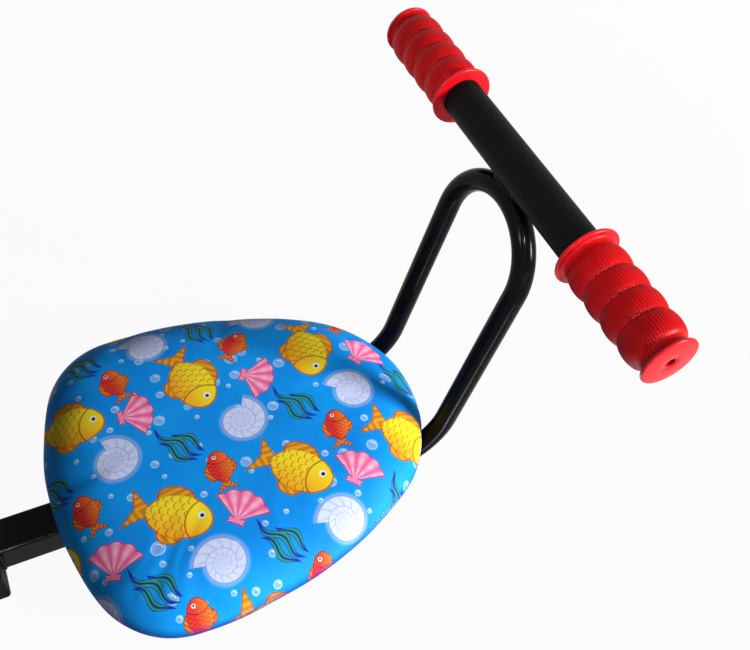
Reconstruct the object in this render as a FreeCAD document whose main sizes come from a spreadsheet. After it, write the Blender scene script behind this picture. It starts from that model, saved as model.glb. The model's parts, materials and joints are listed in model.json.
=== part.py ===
# Front child seat for a bicycle: a padded saddle-shaped seat on a square beam that clamps to the seat post,
# with a bent tube loop in front of the child that carries a short handlebar and two rubber grips.
# Millimetres. The origin is the centre of the seat-post clamp, at beam height.
# X points to the rider's right, Y forward, Z up.
import FreeCAD
import Part
import Sketcher
import math
import os
from FreeCAD import Placement, Rotation, Vector

# Driving dimensions of the sheet
dimensions = {
    # seat-post clamp: a block on the beam and a pressed strap behind it
    "post_diameter": 28.6,
    "jaw_half_width": 32.0,
    "jaw_height": 26.0,
    "jaw_gap": 4.0,
    "block_depth": 18.5,
    "block_corner": 2.5,
    "strap_wall": 4.0,
    "strap_corner": 5.0,
    "clamp_bolt_offset": 25.0,
    "tapped_depth": 14.0,
    # square beam and its end cap
    "beam_side": 25.0,
    "beam_wall": 2.0,
    "beam_corner": 2.5,
    "beam_front": 272.0,
    "cap_face": 3.0,
    "cap_depth": 14.0,
    # plates that carry the seat
    "plate_thickness": 4.0,
    "plate_width": 30.0,
    "plate_length": 106.0,
    "plate_corner": 5.0,
    "rear_plate_place": 130.0,
    "front_plate_place": 250.0,
    "seat_bolt_offset": 26.0,
    # seat outline, from the rear edge forward
    "seat_rear": 60.4,
    "seat_length": 265.0,
    "seat_half_width": 118.5,
    "rear_edge_radius": 225.0,
    "rear_corner_radius": 58.0,
    "side_radius": 275.0,
    "front_radius": 96.0,
    # seat section
    "cover_thickness": 1.2,
    "board_thickness": 9.0,
    "cushion_height": 33.7,
    "crown_width": 40.0,
    "bottom_edge_radius": 9.5,
    "hem_width": 27.0,
    # handle loop, handlebar and plugs
    "loop_diameter": 15.0,
    "loop_wall": 1.5,
    "loop_half_width": 43.7,
    "loop_lean": 13.5,
    "loop_bend_radius": 50.0,
    "loop_rear": 112.0,
    "pressed_flat": 0.5,
    "cushion_gap": 0.3,
    "plug_head": 2.0,
    "plug_depth": 12.0,
    "bar_diameter": 26.0,
    "bar_wall": 2.0,
    "bar_length": 301.0,
    "bar_forward": 375.4,
    "bar_rise": 226.3,
    # rubber grips, from the inner flange outwards
    "grip_start": 73.6,
    "flange_thickness": 2.6,
    "flange_radius": 20.4,
    "flange_bevel": 0.8,
    "collar_length": 4.5,
    "lobe_pitch": 16.0,
    "lobe_height": 1.9,
    "valley_radius": 16.0,
    "neck_length": 5.8,
    "neck_radius": 14.6,
    "end_flange_thickness": 2.8,
    "end_flange_radius": 17.0,
    "end_dome": 0.6,
    "vent_radius": 3.0,
    # fasteners
    "bolt_radius": 3.0,
    "bolt_clearance": 0.2,
    "hex_radius": 5.77,
    "head_height": 4.0,
    "bolt_end_gap": 0.7,
    "washer_radius": 6.0,
    "washer_thickness": 1.2,
    "tee_flange_radius": 8.5,
    "tee_flange_thickness": 1.2,
    "tee_barrel_radius": 4.0,
    "tee_barrel_length": 6.5,
    "staple_crown": 11.0,
    "staple_leg": 5.0,
    "staple_wire": 0.8,
    "staple_inset": 21.0,
}
bottom_steps = 3
top_steps = 5
lobe_count = 4
lobe_steps = 4
staple_count = 14
tolerance = 0.01

doc = FreeCAD.newDocument("child_seat")
sheet = doc.addObject("Spreadsheet::Sheet", "dims")


# A number together with the sheet expression that gives it
class Size:
    def __init__(self, value, text):
        self.value = value
        self.text = text

    def combined(self, other, sign, value):
        return Size(value, f"({self.text} {sign} {as_size(other).text})")

    def __add__(self, other):
        return self.combined(other, "+", self.value + as_size(other).value)

    def __sub__(self, other):
        return self.combined(other, "-", self.value - as_size(other).value)

    def __mul__(self, other):
        return self.combined(other, "*", self.value * as_size(other).value)

    def __truediv__(self, other):
        return self.combined(other, "/", self.value / as_size(other).value)

    def __neg__(self):
        return Size(-self.value, f"(0 - {self.text})")


def as_size(item):
    if isinstance(item, Size):
        return item
    return Size(float(item), repr(float(item)))


def size(name):
    return Size(dimensions[name], f"dims.{name}")


def fill_sheet():
    for row, (name, value) in enumerate(dimensions.items(), start=1):
        sheet.set(f"A{row}", name)
        sheet.set(f"B{row}", str(value))
        sheet.setAlias(f"B{row}", name)
    doc.recompute()


def bind(item, **sizes):
    for prop, amount in sizes.items():
        item.setExpression(prop, as_size(amount).text)
    return item


def place(item, x=0, y=0, z=0):
    for axis, amount in zip("xyz", (x, y, z)):
        item.setExpression(f"Placement.Base.{axis}", as_size(amount).text)
    return item


def labelled(item, label):
    item.Label = label
    return item


# Sketch helpers
def new_sketch(body, name, role, offset=None):
    sketch = body.newObject("Sketcher::SketchObject", name)
    plane = next(item for item in body.Origin.OriginFeatures if item.Role == role)
    sketch.AttachmentSupport = [(plane, "")]
    sketch.MapMode = "FlatFace"
    for axis, amount in (offset or {}).items():
        sketch.setExpression(f"AttachmentOffset.Base.{axis}", as_size(amount).text)
    return sketch


def drive(sketch, kind, *target):
    *places, amount = target
    index = sketch.addConstraint(Sketcher.Constraint(kind, *places, amount.value))
    sketch.setExpression(f"Constraints[{index}]", amount.text)


# Ties one end of an edge to a distance from the sketch's origin, or to an axis where that distance is nought
def drive_point(sketch, edge, end, x, y):
    for kind, axis, amount in (("DistanceX", -2, as_size(x)), ("DistanceY", -1, as_size(y))):
        if amount.value == 0:
            sketch.addConstraint(Sketcher.Constraint("PointOnObject", edge, end, axis))
        else:
            drive(sketch, kind, -1, 1, edge, end, amount)


# Closed outline of straight edges through the corners, each given as (x, y)
def draw_outline(sketch, corners):
    spots = [Vector(as_size(x).value, as_size(y).value, 0) for x, y in corners]
    lines = [Part.LineSegment(start, end) for start, end in zip(spots, spots[1:] + spots[:1])]
    edges = [sketch.addGeometry(line) for line in lines]
    for edge, following in zip(edges, edges[1:] + edges[:1]):
        sketch.addConstraint(Sketcher.Constraint("Coincident", edge, 2, following, 1))
    for edge, (x, y) in zip(edges, corners):
        drive_point(sketch, edge, 1, x, y)
    return sketch


def draw_rectangle(sketch, width, height):
    x = as_size(width) / 2
    y = as_size(height) / 2
    return draw_outline(sketch, [(-x, -y), (x, -y), (x, y), (-x, y)])


def draw_circle(sketch, radius, x=0, y=0):
    centre = Vector(as_size(x).value, as_size(y).value, 0)
    edge = sketch.addGeometry(Part.Circle(centre, Vector(0, 0, 1), radius.value))
    drive(sketch, "Radius", edge, radius)
    drive_point(sketch, edge, 3, x, y)
    return sketch


# Feature helpers
def new_body(name):
    return doc.addObject("PartDesign::Body", name)


def feature(body, kind, name, sketch, reverse=False, **sizes):
    item = body.newObject(f"PartDesign::{kind}", name)
    item.Profile = sketch
    item.Reversed = reverse
    bind(item, **sizes)
    doc.recompute()
    return item


def revolve(body, kind, name, sketch, axis):
    item = body.newObject(f"PartDesign::{kind}", name)
    item.Profile = sketch
    item.ReferenceAxis = (sketch, [axis])
    item.Angle = 360
    doc.recompute()
    return item


def edge_names(base, wanted):
    return [f"Edge{i}" for i, edge in enumerate(base.Shape.Edges, start=1) if wanted(edge)]


def round_edges(body, base, name, radius, wanted):
    item = body.newObject("PartDesign::Fillet", name)
    item.Base = (base, edge_names(base, wanted))
    bind(item, Radius=radius)
    doc.recompute()
    return item


def solid(kind, name, **sizes):
    return bind(doc.addObject(f"Part::{kind}", name), **sizes)


def boolean(kind, name, base, tool):
    item = doc.addObject(f"Part::{kind}", name)
    item.Base = base
    item.Tool = tool
    doc.recompute()
    return item


def group(label, base, placements):
    doc.recompute()
    item = doc.addObject("Part::Feature", label)
    copies = []
    for spot in placements:
        copy = base.Shape.copy()
        copy.Placement = spot.multiply(copy.Placement)
        copies.append(copy)
    item.Shape = Part.makeCompound(copies)
    return labelled(item, label)


# Shared heights and radii
beam_top = size("beam_side") / 2
plate_top = beam_top + size("plate_thickness")
board_top = plate_top + size("board_thickness")
cushion_bottom = plate_top - size("cover_thickness")
cushion_top = cushion_bottom + size("cushion_height")
post_radius = size("post_diameter") / 2
block_rear = size("jaw_gap") / 2
block_front = block_rear + size("block_depth")
hole_radius = size("bolt_radius") + size("bolt_clearance")
loop_radius = size("loop_diameter") / 2
leg_height = beam_top - loop_radius + size("pressed_flat")
plate_places = [dimensions["rear_plate_place"], dimensions["front_plate_place"]]
bolt_spots = [Vector(side * dimensions["seat_bolt_offset"], y, 0) for side in (-1, 1) for y in plate_places]


# The six tangent arcs of the seat's outline, as (centre, radius), anticlockwise from the rear edge
def outline_circles():
    rear = Vector(0, dimensions["seat_rear"] + dimensions["rear_edge_radius"], 0)
    front = Vector(0, dimensions["seat_rear"] + dimensions["seat_length"] - dimensions["front_radius"], 0)
    side_x = dimensions["seat_half_width"] - dimensions["side_radius"]
    side_reach = dimensions["side_radius"] - dimensions["front_radius"]
    side = Vector(side_x, front.y - math.sqrt(side_reach ** 2 - side_x ** 2), 0)
    from_rear = dimensions["rear_edge_radius"] - dimensions["rear_corner_radius"]
    from_side = dimensions["side_radius"] - dimensions["rear_corner_radius"]
    across = side - rear
    along = (from_rear ** 2 - from_side ** 2 + across.Length ** 2) / (2 * across.Length)
    aside = math.sqrt(from_rear ** 2 - along ** 2)
    unit = across / across.Length
    corner = rear + unit * along + Vector(-unit.y, unit.x, 0) * aside
    if corner.x < 0:
        corner = rear + unit * along - Vector(-unit.y, unit.x, 0) * aside
    names = ["rear_edge", "rear_corner", "side", "front", "side", "rear_corner"]
    centres = [rear, corner, side, front, Vector(-side.x, side.y, 0), Vector(-corner.x, corner.y, 0)]
    return [(centre, size(f"{name}_radius")) for centre, name in zip(centres, names)]


# The point where two inside-tangent circles meet, on the line through their centres, with the inset taken off
def meeting_point(first, second, inset):
    (wide_centre, wide), (narrow_centre, narrow) = sorted((first, second), key=lambda item: -item[1].value)
    outward = (narrow_centre - wide_centre).normalize()
    return narrow_centre + outward * (narrow.value - inset)


def outline_edges(inset):
    circles = outline_circles()
    meetings = [meeting_point(circles[i - 1], circles[i], inset) for i in range(len(circles))]
    edges = []
    for (centre, radius), start, end in zip(circles, meetings, meetings[1:] + meetings[:1]):
        first = math.atan2(start.y - centre.y, start.x - centre.x)
        last = math.atan2(end.y - centre.y, end.x - centre.x)
        if last < first:
            last += 2 * math.pi
        circle = Part.Circle(centre, Vector(0, 0, 1), radius.value - inset)
        edges.append(Part.ArcOfCircle(circle, first, last))
    return edges


def seat_outline(body, name, inset, height):
    sketch = new_sketch(body, name, "XY_Plane", {"z": height})
    for edge in outline_edges(inset.value):
        sketch.addGeometry(edge)
    circles = outline_circles()
    for index, (centre, radius) in enumerate(circles):
        following = (index + 1) % len(circles)
        sketch.addConstraint(Sketcher.Constraint("Tangent", index, 2, following, 1))
        drive(sketch, "Radius", index, radius - inset)
    rear, right_corner, right_side, front, left_side, left_corner = range(len(circles))
    rear_centre = size("seat_rear") + size("rear_edge_radius")
    front_centre = size("seat_rear") + size("seat_length") - size("front_radius")
    drive_point(sketch, rear, 3, 0, rear_centre)
    drive_point(sketch, front, 3, 0, front_centre)
    side_centre = size("seat_half_width") - size("side_radius")
    drive(sketch, "DistanceX", -1, 1, right_side, 3, side_centre)
    drive(sketch, "DistanceX", -1, 1, left_side, 3, -side_centre)
    return sketch


# Levels of the cushion from its underside to its top, as (inset, height): the underside's rounding up to the
# rim and the pillow's edge above it are quarter ellipses, taken in even steps
def cushion_levels(inset):
    rim = cushion_bottom + size("bottom_edge_radius")
    below = size("bottom_edge_radius") - inset
    above = cushion_top - inset - rim
    width = size("crown_width") - inset
    levels = []
    for step in range(bottom_steps):
        angle = math.radians(90 * (1 - step / bottom_steps))
        levels.append((below * (1 - math.cos(angle)) + inset, rim - below * math.sin(angle)))
    for step in range(top_steps + 1):
        angle = math.radians(90 * step / top_steps)
        levels.append((width * (1 - math.cos(angle)) + inset, rim + above * math.sin(angle)))
    return levels


def loft_levels(label, levels):
    body = new_body(label)
    sketches = []
    for index, (inset, height) in enumerate(levels):
        sketches.append(seat_outline(body, f"{label}_level_{index}", inset, height))
    loft = body.newObject("PartDesign::AdditiveLoft", f"{label}_form")
    loft.Profile = sketches[0]
    loft.Sections = sketches[1:]
    loft.Ruled = True
    doc.recompute()
    return body


# Everything up to the top face of the seat board
def make_board_space():
    space = solid("Box", "board_space", Length=size("seat_length"), Height=board_top)
    bind(space, Width=size("seat_rear") + size("seat_length"))
    return place(space, x=-size("seat_length") / 2)


# The skin round foam and board, open under the board inside its hem
def make_cover(cushion, inner, staples):
    opening = new_body("hem_opening")
    sketch = seat_outline(opening, "hem_outline", size("hem_width"), as_size(0))
    feature(opening, "Pad", "hem_block", sketch, Length=plate_top)
    skin = boolean("Cut", "cover_skin", cushion, inner)
    skin = boolean("Cut", "cover_with_opening", skin, opening)
    return labelled(boolean("Cut", "seat_cover", skin, staples), "seat_cover")


def make_staples():
    crown_width = dimensions["staple_crown"]
    wire = dimensions["staple_wire"]
    leg = dimensions["staple_leg"]
    half = crown_width / 2
    corners = [(-half, -wire), (half, -wire), (half, leg), (half - wire, leg), (half - wire, 0),
               (wire - half, 0), (wire - half, leg), (-half, leg), (-half, -wire)]
    profile = Part.makePolygon([Vector(x, -wire / 2, z) for x, z in corners])
    staple = doc.addObject("Part::Feature", "staple")
    staple.Shape = Part.Face(profile).extrude(Vector(0, wire, 0))
    wire_path = Part.Wire([edge.toShape() for edge in outline_edges(dimensions["staple_inset"])])
    spots = wire_path.discretize(Number=2 * staple_count + 1)
    placements = []
    for before, spot, after in zip(spots[0:-2:2], spots[1:-1:2], spots[2::2]):
        heading = math.degrees(math.atan2(after.y - before.y, after.x - before.x))
        spot = Vector(spot.x, spot.y, cushion_bottom.value)
        placements.append(Placement(spot, Rotation(Vector(0, 0, 1), heading)))
    return group("cover_staples", staple, placements)


def upright_cylinder(name, radius, height, base):
    return place(solid("Cylinder", name, Radius=radius, Height=height), z=base)


def make_tee_nuts():
    flange_height = size("tee_flange_thickness")
    barrel_length = size("tee_barrel_length")
    flange_base = board_top - flange_height
    barrel_base = flange_base - barrel_length
    flange = upright_cylinder("tee_flange", size("tee_flange_radius"), flange_height, flange_base)
    barrel = upright_cylinder("tee_barrel", size("tee_barrel_radius"), barrel_length, barrel_base)
    thread = upright_cylinder("tee_thread", size("bolt_radius"), size("board_thickness"), plate_top)
    body = boolean("Fuse", "tee_body", flange, barrel)
    nut = boolean("Cut", "tee_nut", body, thread)
    placements = [Placement(spot, Rotation()) for spot in bolt_spots]
    return group("tee_nuts", nut, placements)


def make_board(blank, staples):
    flange_height = size("tee_flange_thickness")
    recess_base = board_top - flange_height
    recess = upright_cylinder("tee_recess", size("tee_flange_radius"), flange_height, recess_base)
    bore = upright_cylinder("tee_bore", size("tee_barrel_radius"), size("board_thickness"), plate_top)
    seat = boolean("Fuse", "tee_seat", recess, bore)
    seats = group("tee_seats", seat, [Placement(spot, Rotation()) for spot in bolt_spots])
    drilled = boolean("Cut", "board_drilled", blank, seats)
    return labelled(boolean("Cut", "seat_board", drilled, staples), "seat_board")


def make_washer(name):
    disc = solid("Cylinder", f"{name}_disc", Radius=size("washer_radius"), Height=size("washer_thickness"))
    hole = solid("Cylinder", f"{name}_hole", Radius=hole_radius, Height=size("washer_thickness"))
    return boolean("Cut", name, disc, hole)


# A hexagon-headed bolt whose head sits below the base plane
def make_bolt(name, length):
    head = solid("Prism", f"{name}_head", Circumradius=size("hex_radius"), Height=size("head_height"))
    place(head, z=-size("head_height"))
    shank = solid("Cylinder", f"{name}_shank", Radius=size("bolt_radius"), Height=length)
    return boolean("Fuse", name, head, shank)


def make_seat_fasteners():
    washer = make_washer("seat_washer")
    washer_base = (beam_top - size("washer_thickness")).value
    placements = [Placement(spot + Vector(0, 0, washer_base), Rotation()) for spot in bolt_spots]
    washers = group("seat_washers", washer, placements)
    length = board_top - beam_top + size("washer_thickness") - size("bolt_end_gap")
    bolts = group("seat_bolts", make_bolt("seat_bolt", length), placements)
    return [washers, bolts]


def make_beam():
    body = new_body("main_beam")
    length = size("beam_front") - block_front
    sketch = new_sketch(body, "beam_section", "XZ_Plane", {"z": -block_front})
    draw_rectangle(sketch, size("beam_side"), size("beam_side"))
    pad = feature(body, "Pad", "beam_bar", sketch, reverse=True, Length=length)

    def is_long(edge):
        return edge.Length > dimensions["beam_side"]

    round_edges(body, pad, "beam_corners", size("beam_corner"), is_long)
    inside = new_sketch(body, "beam_hollow_section", "XZ_Plane", {"z": -size("beam_front")})
    side = size("beam_side") - size("beam_wall") * 2
    draw_rectangle(inside, side, side)
    feature(body, "Pocket", "beam_hollow", inside, reverse=True, Length=length)
    return labelled(body, "main_beam")


def make_beam_cap():
    body = new_body("beam_end_cap")
    face = new_sketch(body, "cap_face_outline", "XZ_Plane", {"z": -size("beam_front")})
    draw_rectangle(face, size("beam_side"), size("beam_side"))
    pad = feature(body, "Pad", "cap_plate", face, reverse=True, Length=size("cap_face"))

    def is_short(edge):
        return abs(edge.Length - dimensions["cap_face"]) < tolerance

    round_edges(body, pad, "cap_corners", size("beam_corner"), is_short)
    plug = new_sketch(body, "cap_plug_outline", "XZ_Plane", {"z": -size("beam_front")})
    side = size("beam_side") - size("beam_wall") * 2
    draw_rectangle(plug, side, side)
    feature(body, "Pad", "cap_plug", plug, Length=size("cap_depth"))
    return labelled(body, "beam_end_cap")


def make_plate(label, forward):
    body = new_body(label)
    outline = new_sketch(body, f"{label}_outline", "XY_Plane", {"y": forward, "z": beam_top})
    draw_rectangle(outline, size("plate_length"), size("plate_width"))
    pad = feature(body, "Pad", f"{label}_sheet", outline, Length=size("plate_thickness"))

    def is_upright(edge):
        return abs(edge.Length - dimensions["plate_thickness"]) < tolerance

    round_edges(body, pad, f"{label}_corners", size("plate_corner"), is_upright)
    holes = new_sketch(body, f"{label}_holes", "XY_Plane", {"y": forward, "z": plate_top})
    draw_circle(holes, hole_radius, x=size("seat_bolt_offset"))
    draw_circle(holes, hole_radius, x=-size("seat_bolt_offset"))
    feature(body, "Pocket", f"{label}_drilling", holes, Length=size("plate_thickness"))
    return labelled(body, label)


# Centre line of the loop: rear leg, bend, leaning leg and arch, then the same on the left
def make_loop_path():
    lean = math.radians(dimensions["loop_lean"])
    up = Vector(0, math.sin(lean), math.cos(lean))
    back = Vector(0, -1, 0)
    out = Vector(dimensions["loop_half_width"], 0, 0)
    bar = Vector(0, dimensions["bar_forward"], dimensions["bar_rise"])
    apex = bar - up * (dimensions["bar_diameter"] / 2 + loop_radius.value - dimensions["pressed_flat"])
    arch_centre = apex - up * dimensions["loop_half_width"]
    corner = arch_centre - up * ((arch_centre.z - leg_height.value) / up.z)
    turn = up.getAngle(-back)
    bend = dimensions["loop_bend_radius"]
    tangent = bend * math.tan(turn / 2)
    inward = (up + back).normalize()
    middle = corner + inward * (bend / math.cos(turn / 2) - bend)
    rear = Vector(0, dimensions["loop_rear"], leg_height.value)

    def side_edges(offset):
        low = corner + back * tangent + offset
        high = corner + up * tangent + offset
        leg = Part.LineSegment(rear + offset, low)
        elbow = Part.Arc(low, middle + offset, high)
        upright = Part.LineSegment(high, arch_centre + offset)
        return [leg, elbow, upright]

    right = [edge.toShape() for edge in side_edges(out)]
    left = [edge.toShape() for edge in reversed(side_edges(-out))]
    arch = Part.Arc(arch_centre + out, apex, arch_centre - out).toShape()
    path = doc.addObject("Part::Feature", "loop_path")
    path.Shape = Part.Wire(right + [arch] + left)
    return path


def sweep_loop(name, path, radius):
    section = doc.addObject("Sketcher::SketchObject", f"{name}_section")
    draw_circle(section, radius)
    section.Placement.Rotation = Rotation(Vector(1, 0, 0), 90)
    place(section, x=size("loop_half_width"), y=size("loop_rear"), z=leg_height)
    sweep = doc.addObject("Part::Sweep", name)
    sweep.Sections = [section]
    sweep.Spine = (path, [f"Edge{i + 1}" for i in range(len(path.Shape.Edges))])
    sweep.Solid = True
    doc.recompute()
    return sweep


# The loop's tube, pressed flat by half a millimetre where the plates and the handlebar are welded on
def make_loop(path, rear_plate, front_plate, bar_rod):
    tube = sweep_loop("loop_tube", path, loop_radius)
    hollow = sweep_loop("loop_hollow", path, loop_radius - size("loop_wall"))
    loop = boolean("Cut", "loop_pipe", tube, hollow)
    for seat in (rear_plate, front_plate):
        loop = boolean("Cut", f"loop_at_{seat.Label}", loop, seat)
    return labelled(boolean("Cut", "handle_loop", loop, bar_rod), "handle_loop")


def make_loop_plugs():
    head = solid("Cylinder", "plug_head", Radius=loop_radius, Height=size("plug_head"))
    stem = solid("Cylinder", "plug_stem", Radius=loop_radius - size("loop_wall"), Height=size("plug_depth"))
    place(stem, z=-size("plug_depth"))
    plug = boolean("Fuse", "loop_plug", head, stem)
    turn = Rotation(Vector(1, 0, 0), 90)
    spots = [Vector(side * dimensions["loop_half_width"], dimensions["loop_rear"], leg_height.value)
             for side in (-1, 1)]
    return group("loop_end_plugs", plug, [Placement(spot, turn) for spot in spots])


def make_handlebar():
    body = new_body("handlebar_tube")
    section = new_sketch(body, "bar_section", "YZ_Plane", {"z": -size("bar_length") / 2})
    draw_circle(section, size("bar_diameter") / 2)
    draw_circle(section, size("bar_diameter") / 2 - size("bar_wall"))
    feature(body, "Pad", "bar_pipe", section, Length=size("bar_length"))
    place(body, y=size("bar_forward"), z=size("bar_rise"))
    return labelled(body, "handlebar_tube")


# The handlebar's outside as a full rod, to press its seat into the loop
def make_bar_rod():
    rod = solid("Cylinder", "bar_rod", Radius=size("bar_diameter") / 2, Height=size("bar_length"))
    rod.Placement.Rotation = Rotation(Vector(0, 1, 0), 90)
    return place(rod, x=-size("bar_length") / 2, y=size("bar_forward"), z=size("bar_rise"))


# Half section of a grip along its own axis: inner flange, collar, lobes in even steps of a parabola, neck,
# and an end flange with a domed face and a vent hole
def grip_profile():
    bore = size("bar_diameter") / 2
    rim = size("flange_bevel")
    shoulder = size("flange_radius") - rim
    flange_end = size("flange_thickness")
    lobes_start = flange_end + size("collar_length")
    lobes_end = lobes_start + size("lobe_pitch") * lobe_count
    neck_end = lobes_end + size("neck_length")
    tip = neck_end + size("end_flange_thickness")
    end_shoulder = size("end_flange_radius") - rim
    corners = [(0, bore), (0, shoulder), (rim, size("flange_radius"))]
    corners += [(flange_end - rim, size("flange_radius")), (flange_end, shoulder)]
    corners.append((flange_end, size("valley_radius")))
    for step in range(lobe_count * lobe_steps + 1):
        along = step / lobe_steps % 1
        bulge = size("lobe_height") * (4 * along * (1 - along))
        reach = lobes_start + size("lobe_pitch") * (step / lobe_steps)
        corners.append((reach, size("valley_radius") + bulge))
    corners += [(lobes_end, size("neck_radius")), (neck_end, size("neck_radius")), (neck_end, end_shoulder)]
    corners += [(neck_end + rim, size("end_flange_radius")), (tip - rim, size("end_flange_radius"))]
    corners += [(tip - size("end_dome"), end_shoulder), (tip, size("vent_radius"))]
    corners += [(neck_end, size("vent_radius")), (neck_end, bore)]
    return corners


def make_grip(label, turn):
    body = new_body(label)
    sketch = new_sketch(body, f"{label}_profile", "XY_Plane")
    draw_outline(sketch, grip_profile())
    revolve(body, "Revolution", f"{label}_moulding", sketch, "H_Axis")
    body.Placement.Rotation = Rotation(Vector(0, 0, 1), turn)
    side = 1 if turn == 0 else -1
    place(body, x=size("grip_start") * side, y=size("bar_forward"), z=size("bar_rise"))
    return labelled(body, label)


# Places on the two clamp bolts' axes, pointing forward
def clamp_places(forward):
    offset = dimensions["clamp_bolt_offset"]
    turn = Rotation(Vector(1, 0, 0), -90)
    return [Placement(Vector(x, forward.value, 0), turn) for x in (-offset, offset)]


def bolt_holes(name, radius, length, start):
    drill = solid("Cylinder", name, Radius=radius, Height=length)
    return group(f"{name}_pair", drill, clamp_places(start))


# Rounds the edges at the tips of a jaw's ears that run along the given axis of their box
def round_ear_tips(label, base, radius, run, length):
    item = doc.addObject("Part::Fillet", label)
    item.Base = base
    edges = [i for i, edge in enumerate(base.Shape.Edges, start=1)
             if abs(abs(edge.CenterOfMass.x) - dimensions["jaw_half_width"]) < tolerance
             and abs(getattr(edge.BoundBox, run) - length.value) < tolerance]
    item.Edges = [(edge, radius.value, radius.value) for edge in edges]
    doc.recompute()
    return labelled(item, label)


# The block that the beam is welded to, with half of the post's bore and two tapped holes in its rear face
def make_fixed_jaw(post):
    half_width = size("jaw_half_width")
    block = solid("Box", "block", Length=half_width * 2, Width=size("block_depth"), Height=size("jaw_height"))
    place(block, x=-half_width, y=block_rear, z=-size("jaw_height") / 2)
    bored = boolean("Cut", "block_bored", block, post)
    holes = bolt_holes("block_tapping", size("bolt_radius"), size("tapped_depth"), block_rear)
    tapped = boolean("Cut", "block_tapped", bored, holes)
    return round_ear_tips("clamp_fixed_jaw", tapped, size("block_corner"), "ZLength", size("jaw_height"))


# The pressed strap behind the post: a half barrel with an ear on each side
def make_loose_jaw(post):
    height = size("jaw_height")
    base = -height / 2
    barrel_radius = post_radius + size("strap_wall")
    barrel = upright_cylinder("strap_barrel", barrel_radius, height, base)
    ear_rear = -block_rear - size("strap_wall")
    ears = solid("Box", "strap_ears", Length=size("jaw_half_width") * 2, Width=size("strap_wall"))
    place(bind(ears, Height=height), x=-size("jaw_half_width"), y=ear_rear, z=base)
    body = boolean("Fuse", "strap_body", barrel, ears)
    body = boolean("Cut", "strap_bored", body, post)
    front = solid("Box", "strap_front", Length=barrel_radius * 2, Width=barrel_radius * 2, Height=height)
    place(front, x=-barrel_radius, y=-block_rear, z=base)
    body = boolean("Cut", "strap_half", body, front)
    holes = bolt_holes("strap_drilling", hole_radius, size("strap_wall"), ear_rear)
    drilled = boolean("Cut", "strap_drilled", body, holes)
    return round_ear_tips("clamp_loose_jaw", drilled, size("strap_corner"), "YLength", size("strap_wall"))


def make_clamp():
    post = upright_cylinder("seat_post", post_radius, size("jaw_height"), -size("jaw_height") / 2)
    strap_face = -block_rear - size("strap_wall")
    washer_face = strap_face - size("washer_thickness")
    washers = group("clamp_washers", make_washer("clamp_washer"), clamp_places(washer_face))
    length = block_rear + size("tapped_depth") - size("bolt_end_gap") - washer_face
    bolts = group("clamp_bolts", make_bolt("clamp_bolt", length), clamp_places(washer_face))
    return [make_fixed_jaw(post), make_loose_jaw(post), washers, bolts]


# The cushion's lower front edge gives way where the loop's legs rise in front of it
def pressed_cushion(label, path, inset):
    form = loft_levels(label, cushion_levels(inset))
    legs = sweep_loop(f"{label}_leg_room", path, loop_radius + size("cushion_gap") + inset)
    return boolean("Cut", f"{label}_pressed", form, legs)


def make_seat(path):
    staples = make_staples()
    cushion = pressed_cushion("cushion", path, as_size(0))
    inner = pressed_cushion("padding", path, size("cover_thickness"))
    space = make_board_space()
    cover = make_cover(cushion, inner, staples)
    foam = labelled(boolean("Cut", "seat_foam", inner, space), "seat_foam")
    board = make_board(boolean("Common", "board_blank", inner, space), staples)
    return [cover, foam, board, staples, make_tee_nuts()] + make_seat_fasteners()


def make_frame(path):
    rear_plate = make_plate("rear_crossplate", size("rear_plate_place"))
    front_plate = make_plate("front_crossplate", size("front_plate_place"))
    loop = make_loop(path, rear_plate, front_plate, make_bar_rod())
    beam = [make_beam(), make_beam_cap(), rear_plate, front_plate]
    handle = [loop, make_loop_plugs(), make_handlebar()]
    grips = [make_grip("grip_right", 0), make_grip("grip_left", 180)]
    return beam + handle + grips


def check_document(pieces):
    for item in doc.Objects:
        if "Invalid" in item.State or "Error" in item.State:
            raise RuntimeError(f"{item.Name} did not recompute: {item.State}")
    for piece in pieces:
        if piece.Shape.isNull() or not piece.Shape.isValid():
            raise RuntimeError(f"{piece.Label} has no valid shape")


def write_steps(pieces):
    os.makedirs("parts", exist_ok=True)
    for piece in pieces:
        piece.Shape.exportStep(f"parts/{piece.Label}.step")
        print(piece.Label, len(piece.Shape.Solids), "solids,", round(piece.Shape.Volume / 1000, 2), "cm3")


fill_sheet()
loop_path = make_loop_path()
pieces = make_seat(loop_path) + make_frame(loop_path) + make_clamp()
doc.recompute()
check_document(pieces)
write_steps(pieces)
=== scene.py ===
import bpy
import json
import math
import numpy as np
from functools import partialmethod, reduce
from mathutils import Matrix, Vector


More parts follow.
